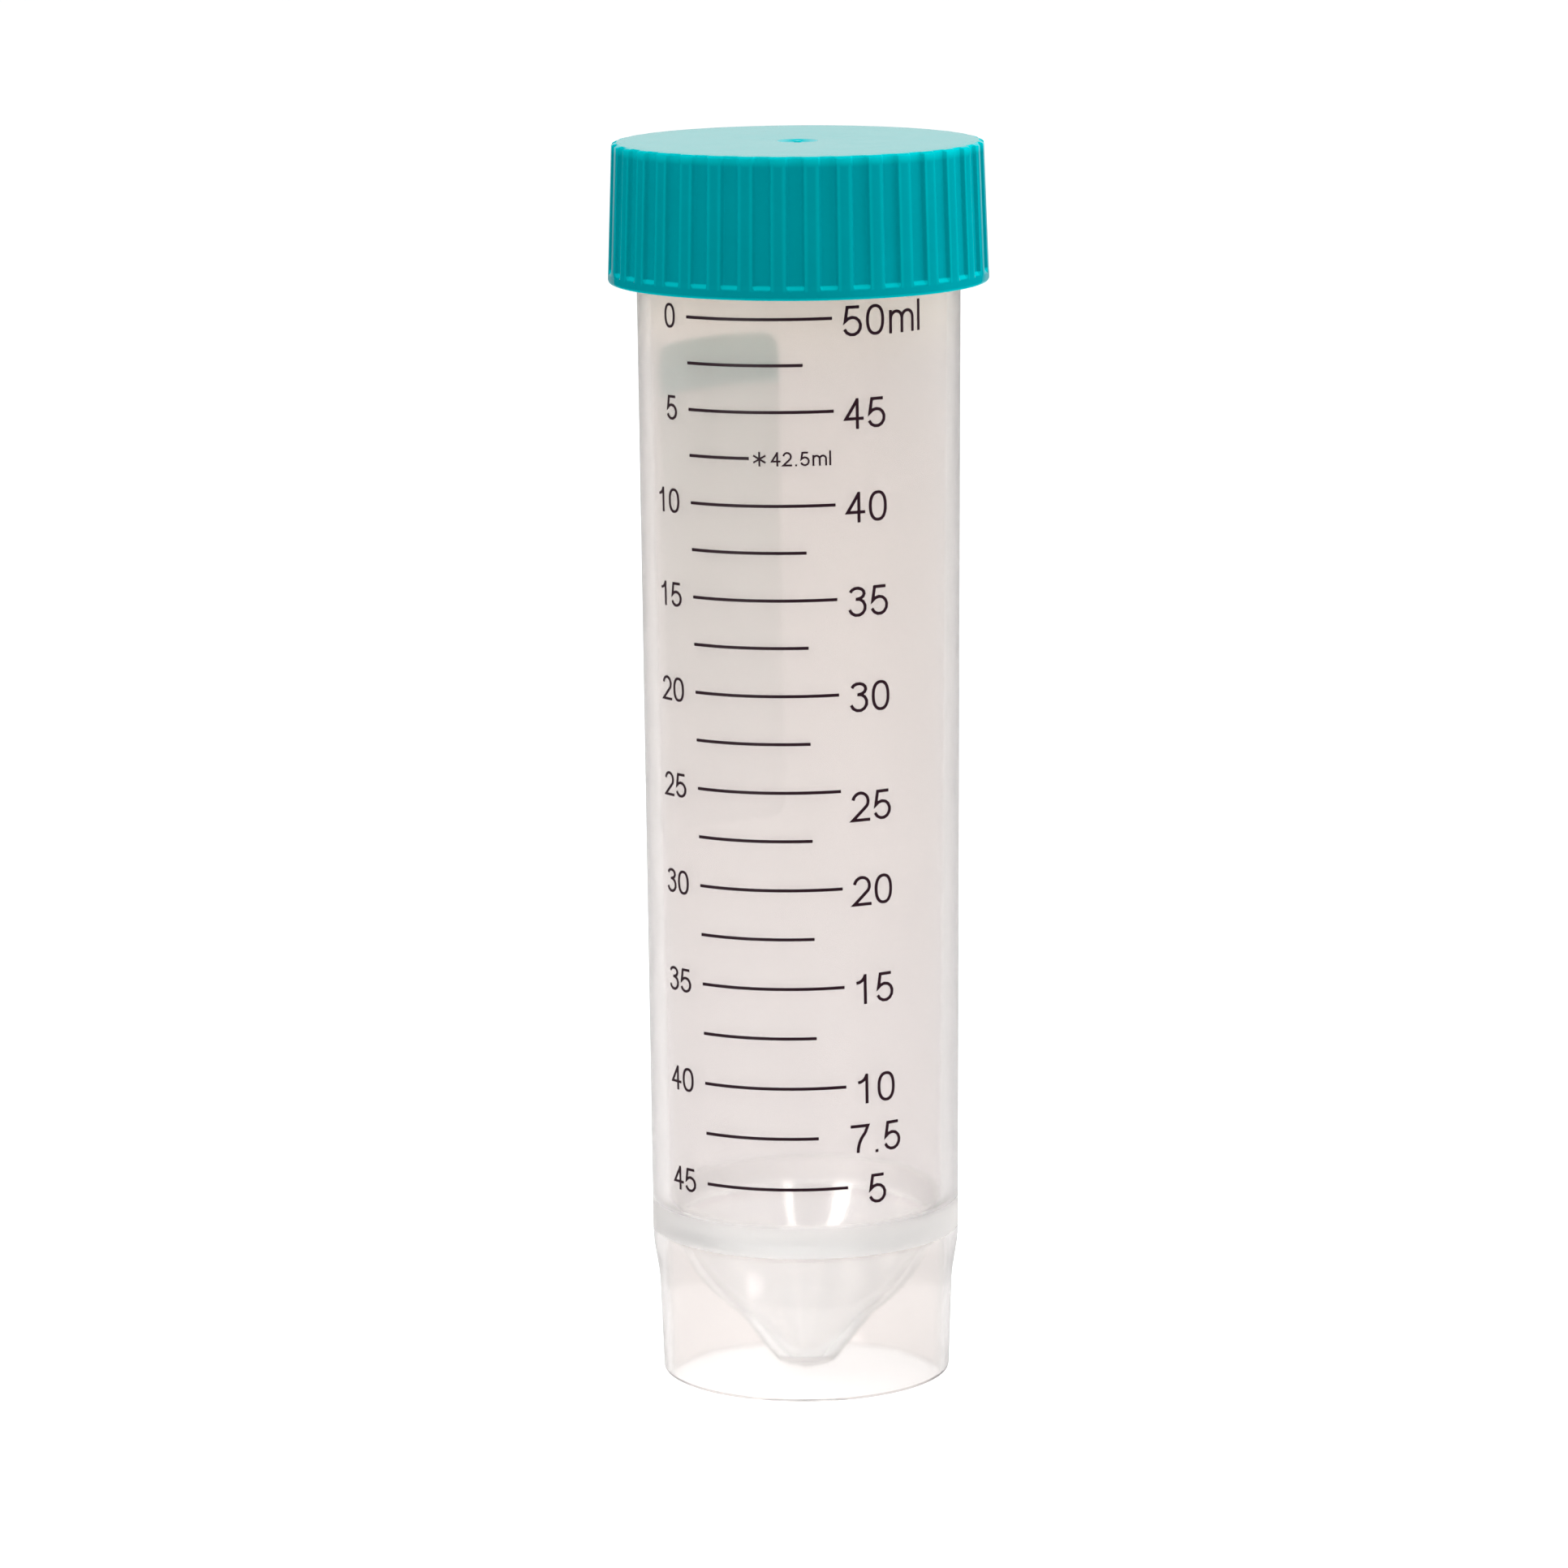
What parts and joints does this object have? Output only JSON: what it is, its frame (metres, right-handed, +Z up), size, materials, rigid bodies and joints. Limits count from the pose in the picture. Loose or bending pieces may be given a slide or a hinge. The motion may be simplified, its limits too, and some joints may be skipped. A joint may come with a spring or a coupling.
{
  "type": "self-standing 50 ml conical tube with screw cap",
  "caption": "Translucent conical tube on a round skirt, with a printed volume scale, a writing patch and a ribbed screw cap.",
  "frame": {"origin": "centre of the skirt's foot, on the surface the tube stands on", "axes": "+Z up the tube's axis to the cap, -Y out of the middle of the printed scale's side"},
  "size_m": [0.035, 0.035, 0.1154],
  "materials": {
    "natural_plastic": "translucent natural polypropylene, smooth",
    "cap_plastic": "opaque teal polyethylene, satin",
    "scale_ink": "dark printing ink",
    "band_ink": "pale blue-grey printing ink, solid",
    "patch_ink": "frosted writing patch, thin"
  },
  "bodies": {
    "tube": {"tube": "natural_plastic", "scale_lines": "scale_ink", "scale_figures": "scale_ink", "patch_band": "band_ink", "writing_patch": "patch_ink"},
    "cap": {"cap": "cap_plastic"}
  },
  "joints": [
    {"name": "cap_lift", "type": "slide", "parent": "tube", "child": "cap", "axis": [0, 0, 1], "range_m": [0, 0.045]}
  ]
}
